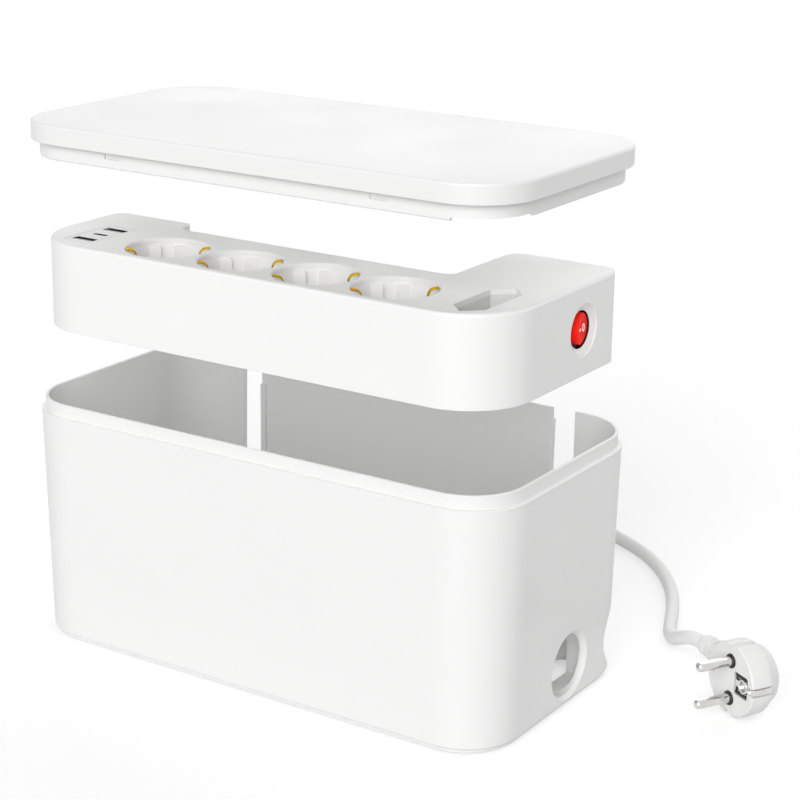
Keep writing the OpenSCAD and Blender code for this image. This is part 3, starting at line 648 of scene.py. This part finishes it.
def addPlate(made, outline, low, high, place=Matrix(), slot=0):
    # an outline of (x, y) points raised between two heights
    addLoops(made, [[place @ Vector((x, y, z)) for x, y in outline] for z in (low, high)], slot)


def roundOutline(halfX, halfY, radius, steps=6, centre=(0, 0)):
    points = []
    for cx, cy, start in ((1, 1, 0), (-1, 1, 90), (-1, -1, 180), (1, -1, 270)):
        for k in range(steps + 1):
            a = math.radians(start + 90 * k / steps)
            points.append((centre[0] + cx * (halfX - radius) + radius * math.cos(a),
                           centre[1] + cy * (halfY - radius) + radius * math.sin(a)))
    return points


# earth springs in the sockets
socketPlan = {
    "x": (-62.6, -19.3, 24.0, 67.3),
    "y": -42.2,
    "floor": 206 - 17.6,
    "turn": math.radians(40),
    "width": 2.8,
    "thick": 0.65,
    "edge": 0.14,
    "step": 0.6,
    # half of the bow: distance from the middle, height above the floor of the well
    "bow": [(6, -2.6), (16.4, -2.6), (17, -1.6), (17, 0.6), (16, 4.5), (15.15, 8.5), (14.78, 11.5),
            (14.82, 13.4), (15.35, 15.1), (16.4, 16.3), (17.9, 16.9), (19.9, 17.1)],
}


def buildSpring(made, s, x):
    half = [Vector((r, 0, z)) * mm for r, z in s["bow"]]
    line = [Vector((-p.x, 0, p.z)) for p in reversed(half)] + half
    place = Matrix.Translation(Vector((x, s["y"], s["floor"])) * mm) @ Matrix.Rotation(s["turn"], 4, "Z")
    across = (-math.sin(s["turn"]), math.cos(s["turn"]), 0)
    addRibbon(made, [place @ p for p in smoothLine(line, s["step"] * mm)], across, s["width"] * mm,
              s["thick"] * mm)


for k, x in enumerate(socketPlan["x"], 1):
    spring = meshPiece(f"earthSpring{k}", lambda made: buildSpring(made, socketPlan, x), ["clipBrass"],
                       edge=socketPlan["edge"] * mm)
    keep(spring, "strip_body", "earth_brass", f"earth_clips_{k}")
print("earth springs made")


# red rocker with its marks
rockerPlan = {
    "axis": (128.4, 13.9, 184.5),
    "tilt": math.radians(12),
    "radius": 7.45,
    "faceOut": 3.95,     # from the pivot axis to the rim of the face
    "dish": 0.5,         # how far the middle of the face lies back
    "edge": 0.45,
    "edgeSteps": 4,
    "sides": 96,
    "faceRings": (0.02, 1.2, 2.4, 3.6, 4.8, 6, 6.8),
    "back": [(0, -1.0), (1.6, -3.2), (3.4, -3.9), (7.43, -3.9)],     # in from the rim, depth
    "pivots": [(9.6, 0.97), (5.6, 2.4)],       # half length and radius of the pin and of its barrel
    "pivotSides": 24,
    "stroke": {"at": -2.7, "long": 3.3, "wide": 0.95, "steps": 8},
    "ring": {"at": 2.6, "halfY": 1.65, "halfZ": 1.95, "wide": 0.75, "steps": 40},
    "markRise": 0.05,
    "markSunk": -0.2,
}


def rockerFace(r, y):
    # hollow along the rocking direction, full at both ends
    return r["faceOut"] - r["dish"] * (1 - (y / r["radius"]) ** 2)


def buildRocker(made):
    r = rockerPlan
    place = placeAt(r["axis"], r["tilt"])
    angles = evenAngles(r["sides"])

    def ring(radius, back):
        return [place @ Vector((rockerFace(r, radius * math.cos(a)) - back, radius * math.cos(a),
                                radius * math.sin(a))) for a in angles]

    loops = [ring(radius, 0) for radius in (*r["faceRings"], r["radius"] - r["edge"])]
    for step in range(1, r["edgeSteps"] + 1):
        turn = math.radians(90) * step / r["edgeSteps"]
        loops.append(ring(r["radius"] - r["edge"] * (1 - math.sin(turn)), r["edge"] * (1 - math.cos(turn))))
    for inward, x in r["back"]:
        radius = r["radius"] - inward
        loops.append([place @ Vector((x, radius * math.cos(a), radius * math.sin(a))) for a in angles])
    addLoops(made, loops)
    for half, wide in r["pivots"]:
        addRevolve(made, [(0, -half), (wide, -half), (wide, half), (0, half)], r["pivotSides"], place, 2)
    # the stroke and the ring follow the hollow face
    sunk, rise = r["markSunk"], r["markRise"]
    bar, half = r["stroke"], r["stroke"]["wide"] / 2
    sections = []
    for k in range(bar["steps"] + 1):
        y = bar["at"] + bar["long"] * (k / bar["steps"] - 0.5)
        sections.append([place @ Vector((rockerFace(r, y) + lift, y, z))
                         for lift, z in ((sunk, -half), (sunk, half), (rise, half), (rise, -half))])
    addLoops(made, sections, 1)
    loop, rails = r["ring"], []
    for lift, grow in ((sunk, 0), (sunk, -loop["wide"]), (rise, -loop["wide"]), (rise, 0)):
        rail = []
        for a in evenAngles(loop["steps"]):
            y = loop["at"] + (loop["halfY"] + grow) * math.cos(a)
            rail.append(place @ Vector((rockerFace(r, y) + lift, y, (loop["halfZ"] + grow) * math.sin(a))))
        rails.append(rail)
    addHoop(made, rails, 1)


rockerButton = meshPiece("rockerButton", buildRocker, ["redButtonPaintedGlow", "markPaintPaintedGlow", "blackPlastic"])
keep(rockerButton, "rocker_body", "rocker_red", "rocker")
print("rocker made")


# USB ports: drawn shells with a tongue and contacts
smallRow = [-2.75 + 0.5 * k for k in range(12)]
usbPlan = {
    "at": (-107.1, -39.6),
    "top": 205.84,
    "step": 11.3,        # from the middle port to its neighbours
    "deep": 13,
    "rim": (0.12, 0.1),  # height and width of the rolled rim
    "tightest": 0.08,    # smallest radius of a corner inside
    # inside each shell: low corner, high corner, where along X, material
    "large": {"half": (6.55, 2.85), "round": 0.5, "wall": 0.32, "inside": [
        ((-5.6, -2.0, -12.5), (5.6, -0.2, -0.3), (0,), 1),                      # tongue
        ((-0.5, -0.22, -12), (0.5, -0.1, -1.5), (-3.5, -1.0, 1.0, 3.5), 2),     # contacts
        ((-1, 2.3, -6.5), (1, 2.75, -3.5), (-3.2, 3.2), 0)]},                   # pressed spring tabs
    "small": {"half": (4.5, 1.58), "round": 1.53, "wall": 0.3, "inside": [
        ((-3.2, -0.35, -12.6), (3.2, 0.35, -0.5), (0,), 1),
        ((-0.14, -0.41, -6), (0.14, -0.33, -1.2), smallRow, 2),
        ((-0.14, 0.33, -6), (0.14, 0.41, -1.2), smallRow, 2)]},
}
portFinishes = ["portSteel", "portTongue", "contactGold", "portPaintedShade"]


def buildPort(made, kind, side):
    # an open drawn shell, with its outside, rolled rim, inside and bottom painted near black as shade, and
    # what sits in it
    u, port = usbPlan, usbPlan[kind]
    place = placeAt((u["at"][0], u["at"][1] + side * u["step"], u["top"]))
    (halfX, halfY), wall, deep, (rimHigh, rimWide) = port["half"], port["wall"], u["deep"], u["rim"]
    loops = []
    for grow, z in ((0, -deep), (0, -rimHigh), (-rimWide, 0), (rimWide - wall, 0), (-wall, -rimHigh),
                    (-wall, wall - deep)):
        outline = roundOutline(halfX + grow, halfY + grow, max(port["round"] + grow, u["tightest"]), 5)
        loops.append([place @ Vector((x, y, z)) for x, y in outline])
    # the inside band and the bottom take the painted shade
    addLoops(made, loops, (0, 0, 0, 0, 3))
    for low, high, row, slot in port["inside"]:
        for x in row:
            addBox(made, (low[0] + x, *low[1:]), (high[0] + x, *high[1:]), place, slot)


ports = [("usbPort1", "large", -1, "usb_a_port_1"), ("usbPort2", "large", 1, "usb_a_port_2"),
         ("usbSmallPort", "small", 0, "usb_c_port")]
for name, kind, side, node in ports:
    port = meshPiece(name, lambda made: buildPort(made, kind, side), portFinishes)
    keep(port, "strip_body", "port_steel", node)
print("ports made")


# base screws, set by Geometry Nodes on the strip's posts
screwPlan = {
    "posts": [(-126, -12), (-44, -14.5), (-2, -14.5), (66.5, -15), (127, -20), (84.5, 38), (122, 40),
              (-91, -2.5)],
    "under": 162.6,
    "long": 11,
    "cross": {"half": 2.0, "wide": 0.42, "deep": 0.75, "taper": 0.55, "lip": 0.06},
    "head": [(2.3, 0), (2.85, 0.25), (3.0, 0.55), (3.0, 1.1), (1.5, 1.1)],     # radius, height
    "thread": {"from": 1.5, "pitch": 1.1, "stopShort": 1.2,
               "turn": [(1.15, 0.2), (1.5, 0.55), (1.15, 0.9)]},               # radius, rise in one pitch
    "tip": 0.2,
    "turnSeed": 7,
}


def buildScrew(made):
    # head down, threaded shank up, with a cross cut in the head
    s, cross, thread = screwPlan, screwPlan["cross"], screwPlan["thread"]
    half, wide = cross["half"], cross["wide"]
    crossed = []
    for turn in range(4):
        a = math.radians(90 * turn)
        for x, y in ((wide, -wide), (half, -wide), (half, wide)):
            crossed.append((x * math.cos(a) - y * math.sin(a), x * math.sin(a) + y * math.cos(a)))
    angles = [math.atan2(y, x) for x, y in crossed]
    loops = [[Vector((x * size, y * size, z)) for x, y in crossed]
             for size, z in ((cross["taper"], cross["deep"]), (1, cross["lip"]))]
    loops += [circle(radius, z, angles) for radius, z in s["head"]]
    z = thread["from"]
    while z < s["long"] - thread["stopShort"]:
        loops += [circle(radius, z + rise, angles) for radius, rise in thread["turn"]]
        z += thread["pitch"]
    loops.append(circle(s["tip"], s["long"], angles))
    addLoops(made, [[p * mm for p in loop] for loop in loops])


def screwTree():
    tree, groupIn, groupOut = nodeTree("screwsOnPosts", [
        ("Screw", "NodeSocketObject"), ("Turn Seed", "NodeSocketInt"), ("Finish", "NodeSocketMaterial")])
    info = tree.nodes.new("GeometryNodeObjectInfo")
    spread = tree.nodes.new("GeometryNodeInstanceOnPoints")
    turn = tree.nodes.new("FunctionNodeRandomValue")
    turn.data_type = "FLOAT_VECTOR"
    turn.inputs["Min"].default_value = (0, 0, 0)
    turn.inputs["Max"].default_value = (0, 0, math.tau)
    tree.links.new(groupIn.outputs["Turn Seed"], turn.inputs["Seed"])
    tree.links.new(groupIn.outputs["Screw"], info.inputs["Object"])
    tree.links.new(groupIn.outputs["Geometry"], spread.inputs["Points"])
    tree.links.new(info.outputs["Geometry"], spread.inputs["Instance"])
    tree.links.new(turn.outputs["Value"], spread.inputs["Rotation"])
    finishTree(tree, spread.outputs[0], groupIn, groupOut)
    return tree


def pointsObject(name, points):
    mesh = bpy.data.meshes.new(name)
    mesh.from_pydata([tuple(c * mm for c in p) for p in points], [], [])
    return bpy.data.objects.new(name, mesh)


oneScrew = meshPiece("oneScrew", buildScrew, ["screwSteel"])
screwPoints = pointsObject("posts", [(x, y, screwPlan["under"]) for x, y in screwPlan["posts"]])
baseScrews = runTree(screwTree(), screwPoints, {
    "Screw": oneScrew, "Turn Seed": screwPlan["turnSeed"], "Finish": finish["screwSteel"]}, "baseScrews")
bpy.data.objects.remove(oneScrew)
keep(baseScrews, "strip_body", "screw_steel", "base_screws")
print("screws set")


# hook-and-loop band round the coil
tiePlan = {
    "turn": math.radians(200),
    "inner": 26.4,
    "outer": 47.6,
    "low": 0.6,
    "top": 14.6,
    "thick": 0.95,
    "wide": 10,
    "round": 2.4,
    "edge": 0.25,
    "offFloor": 0.05,
    # the free end pressed down over the band: distance from the coil's middle, height above the band
    "tab": [(30, 0.62), (34, 0.45), (39, 0.4), (43, 0.36), (45.3, 0.2)],
    "tabWide": 9.4,
    "tabThick": 0.8,
}


def buildTie(made):
    t = tiePlan
    place = placeAt((*cordPlan["coilCentre"], 0), t["turn"])
    middle = ((t["inner"] + t["outer"]) / 2, (t["top"] + t["low"]) / 2)
    halfX, halfZ = (t["outer"] - t["inner"]) / 2, (t["top"] - t["low"]) / 2
    outerHalfZ = min(halfZ + t["thick"], middle[1] - t["offFloor"])
    outerLine = roundOutline(halfX + t["thick"], outerHalfZ, t["round"] + t["thick"], 6, middle)
    innerLine = roundOutline(halfX, halfZ, t["round"], 6, middle)
    near, far = -t["wide"] / 2, t["wide"] / 2
    addHoop(made, [[place @ Vector((x, y, z)) for x, z in line]
                   for line, y in ((outerLine, near), (outerLine, far), (innerLine, far), (innerLine, near))])
    line = [place @ Vector((x, 0, t["top"] + t["thick"] + rise)) for x, rise in t["tab"]]
    addRibbon(made, line, place.to_3x3() @ Vector((0, 1, 0)), t["tabWide"] * mm, t["tabThick"] * mm)


coilTie = meshPiece("coilTie", buildTie, ["tieCloth"], edge=tiePlan["edge"] * mm)
keep(coilTie, "tub_body", "black_plastic", "coil_tie")
print("tie made")


# mains plug, drawn with its pins along -Y and its cord along -X, then turned and laid down
plugPlan = {
    "at": (203.5, 41.6, 18.8),
    "turn": math.radians(-31),
    # the body from its face back to the grip: radius, depth
    "body": [(0, 0), (17.9, 0), (18.4, 0.5), (18.35, 6), (18.15, 10.6), (17.5, 12.0), (16.4, 13.2),
             (15.6, 14.2), (14.6, 16.4), (13.4, 18.2), (11.8, 19.3), (9, 19.6), (0, 19.6)],
    "bodySides": 72,
    # raised grip plate; each level has its depth and how far the outline is grown there
    "grip": {"half": (8.6, 3.1), "round": 2.2,
             "levels": [(17.6, 0.6), (21.4, 0), (21.9, -0.3), (22.1, -0.9)]},
    # the neck towards the cord: place along it, half depth, half height, radius of the corners
    "neck": [(3, 5.6, 8.4, 4.2), (-6, 6.4, 9, 4.8), (-14, 6.8, 8.8, 5.6), (-18, 6.8, 7.8, 6.2),
             (-19.6, 6.5, 6.9, 6.3), (-20.2, 6.0, 6.3, 5.9)],
    "neckDeep": 12.2,
    "edge": 0.22,
    # recesses on either side, low and high corner: the flat, the strap's seat on the face and at the side
    "cuts": {
        -1: [((-3.2, -1, -18.4), (3.2, 10.6, -16.2)), ((-20, -1, -1.7), (-13.2, 0.9, 1.7)),
             ((-20, -1, -2.2), (-16.9, 12.2, 2.2))],
        1: [((-3.2, -1, 16.2), (3.2, 10.6, 19.4)), ((13.2, -1, -1.7), (20, 0.9, 1.7)),
            ((16.9, -1, -2.2), (20, 12.2, 2.2))],
    },
    "pinGap": 19,
    "collarSeat": [(0, -1), (3.5, -1), (3.5, 3), (0, 3)],
    "pin": [(0, -2.9), (2.0, -2.9), (2.0, 0.5), (2.4, 0.6), (2.4, 17.2), (2.32, 17.9), (2.05, 18.5),
            (1.6, 18.85), (0.9, 19.0), (0, 19.02)],
    "roundSides": 40,
    "frame": (2.7, 13.9, 5.6),      # the black insert: low and high end along X, half width
    "frameRound": 1.2,
    "insertDeep": 1.5,
    "insertThick": 0.5,
    "play": 0.05,
    "cheek": {"half": (4.6, 0.7), "round": 0.4, "inward": 1.15, "front": 0.35, "sunk": 0.1},
    # the bright earth contact: a rim round its hole, a tongue back to the pins and two side bars
    "contactAt": (9.6, 0, 0),
    "contactSides": 48,
    "contactRim": [(2.45, 6.5), (2.45, 0.35), (2.75, 0.1), (3.35, 0.1), (3.6, 0.35), (3.6, 1.4)],
    "contactBars": [((3.3, -1.7, 0.55), (6.4, 1.7, 1.45)), ((5.6, -3.4, 0.5), (12.6, -2.9, 1.45)),
                    ((5.6, 2.9, 0.5), (12.6, 3.4, 1.45))],
    # a strap over the face's edge and down the side: distance from the middle, depth
    "strap": [(13.0, 0.45), (15.0, 0.4), (17.3, 0.5), (18.05, 1.3), (18.25, 3.5), (18.42, 6), (18.05, 8.6),
              (17.45, 11.6)],
    "strapStep": 0.5,
    "strapWide": 2.9,
    "strapThick": 0.5,
    "strapEnd": ((-13.6, 0.12, -2.4), (-10.6, 0.75, 2.4)),
    "fineEdge": 0.12,
}
plugPlace = placeAt(plugPlan["at"], plugPlan["turn"])
faceTurn = Matrix.Rotation(math.radians(-90), 4, "X")     # local Z to +Y, into the body
facePlace = plugPlace @ faceTurn


def pinPlace(side):
    return plugPlace @ Matrix.Translation((0, 0, side * plugPlan["pinGap"] / 2))


def buildPlugBody(made):
    addRevolve(made, plugPlan["body"], plugPlan["bodySides"], facePlace)


def buildPlugGrip(made):
    # across the back, drawn in towards its top
    grip = plugPlan["grip"]
    halfX, halfY = grip["half"]
    outline = roundOutline(halfX, halfY, grip["round"], 6)
    addLoops(made, [[facePlace @ Vector((x * (1 + grow / halfX), y * (1 + grow / halfY), z))
                     for x, y in outline] for z, grow in grip["levels"]])


def buildPlugNeck(made):
    # thick neck towards the cord, from a rounded block to the round boot
    addLoops(made, [[plugPlace @ Vector((x, plugPlan["neckDeep"] + y, z))
                     for y, z in roundOutline(halfY, halfZ, corner, 7)]
                    for x, halfY, halfZ, corner in plugPlan["neck"]])


def plugCutter(build):
    return meshPiece("cutter", build, ["plugShell"])


def insertOutline(play):
    low, high, half = plugPlan["frame"]
    return roundOutline((high - low) / 2 - play, half - play, plugPlan["frameRound"] - play, 4,
                        ((high + low) / 2, 0))


plugBody = meshPiece("plugBody", buildPlugBody, ["plugShell"])
combine(plugBody, "UNION", [meshPiece("part", build, ["plugShell"])
                            for build in (buildPlugGrip, buildPlugNeck)])
insertBack = plugPlan["insertDeep"] + plugPlan["insertThick"]
cuts = [plugCutter(lambda made: addPlate(made, insertOutline(0), -1, insertBack, facePlace))]
for side in (-1, 1):
    for low, high in plugPlan["cuts"][side]:
        cuts.append(plugCutter(lambda made: addBox(made, low, high, plugPlace)))
    cuts.append(plugCutter(lambda made: addRevolve(
        made, plugPlan["collarSeat"], plugPlan["roundSides"], pinPlace(side) @ faceTurn)))
combine(plugBody, "DIFFERENCE", cuts)
roundEdges(plugBody, plugPlan["edge"] * mm, 40)
keep(plugBody, "tub_body", "white_plastic", "plug_body")


def buildPins(made):
    outward = Matrix.Rotation(math.radians(90), 4, "X")
    for side in (-1, 1):
        addRevolve(made, plugPlan["pin"], plugPlan["roundSides"], pinPlace(side) @ outward)


plugPins = meshPiece("plugPins", buildPins, ["pinNickel"])
keep(plugPins, "tub_body", "pin_metal", "plug_pins")


def buildSockets(made):
    # black insert with raised cheeks either side of the bright earth contact
    p, cheek = plugPlan, plugPlan["cheek"]
    low, high, half = p["frame"]
    addPlate(made, insertOutline(p["play"]), p["insertDeep"], insertBack, facePlace)
    for side in (-1, 1):
        centre = ((high + low) / 2, side * (half - cheek["inward"]))
        addPlate(made, roundOutline(*cheek["half"], cheek["round"], 3, centre), cheek["front"],
                 p["insertDeep"] + cheek["sunk"], facePlace)
    addRevolve(made, p["contactRim"], p["contactSides"], facePlace @ Matrix.Translation(p["contactAt"]), 1)
    for corner, opposite in p["contactBars"]:
        addBox(made, corner, opposite, facePlace, 1)


plugSocket = meshPiece("plugEarthSocket", buildSockets, ["blackPlastic", "pinNickel"],
                       edge=plugPlan["fineEdge"] * mm)
keep(plugSocket, "tub_body", "black_plastic", "plug_earth_socket")


def buildStraps(made):
    p = plugPlan
    across = plugPlace.to_3x3() @ Vector((0, 0, 1))
    for side in (-1, 1):
        line = smoothLine([plugPlace @ Vector((side * x, y, 0)) for x, y in p["strap"]], p["strapStep"] * mm)
        addRibbon(made, line, across, p["strapWide"] * mm, p["strapThick"] * mm)
    addBox(made, *p["strapEnd"], plugPlace)


plugStraps = meshPiece("plugEarthStraps", buildStraps, ["pinNickel"], edge=plugPlan["fineEdge"] * mm)
keep(plugStraps, "tub_body", "pin_metal", "plug_earth_clips")


# the plug's strain relief, with sunk ribs staggered round it
bootPlan = {
    "at": (-20.0, 12.2, 0),
    "profile": [(0, -1.5), (6.2, -1.5), (6.2, 0.4), (6.05, 4), (5.7, 9), (5.35, 14), (5.15, 17.4),
                (4.85, 18.6), (4.3, 19.6), (3.62, 20), (3.4, 20), (0, 19)],
    "sides": 48,
    "ribs": {"from": 3.2, "pitch": 4.6, "rows": 3, "half": (0.85, 3.1), "round": 0.84, "depth": (4.35, 8)},
    "edge": 0.25,
}
bootPlace = plugPlace @ Matrix.Translation(bootPlan["at"]) @ Matrix.Rotation(math.radians(-90), 4, "Y")


def bootCutters():
    ribs = bootPlan["ribs"]
    outline = roundOutline(*ribs["half"], ribs["round"], 5)
    cutters = []
    for row in range(ribs["rows"]):
        for turn in range(4):
            z = ribs["from"] + ribs["pitch"] * row + (ribs["pitch"] / 2 if turn % 2 else 0)
            spin = bootPlace @ Matrix.Rotation(math.radians(90 * turn), 4, "Z")
            place = spin @ Matrix.Translation((0, 0, z)) @ Matrix.Rotation(math.radians(90), 4, "Y")
            cutters.append(meshPiece("cutter", lambda made: addPlate(made, outline, *ribs["depth"], place),
                                     ["cordSkin"]))
    return cutters


plugBoot = meshPiece("plugBoot", lambda made: addRevolve(
    made, bootPlan["profile"], bootPlan["sides"], bootPlace), ["cordSkin"])
combine(plugBoot, "DIFFERENCE", bootCutters())
roundEdges(plugBoot, bootPlan["edge"] * mm, 40)
keep(plugBoot, "tub_body", "white_cord", "plug_boot")
print("plug made")
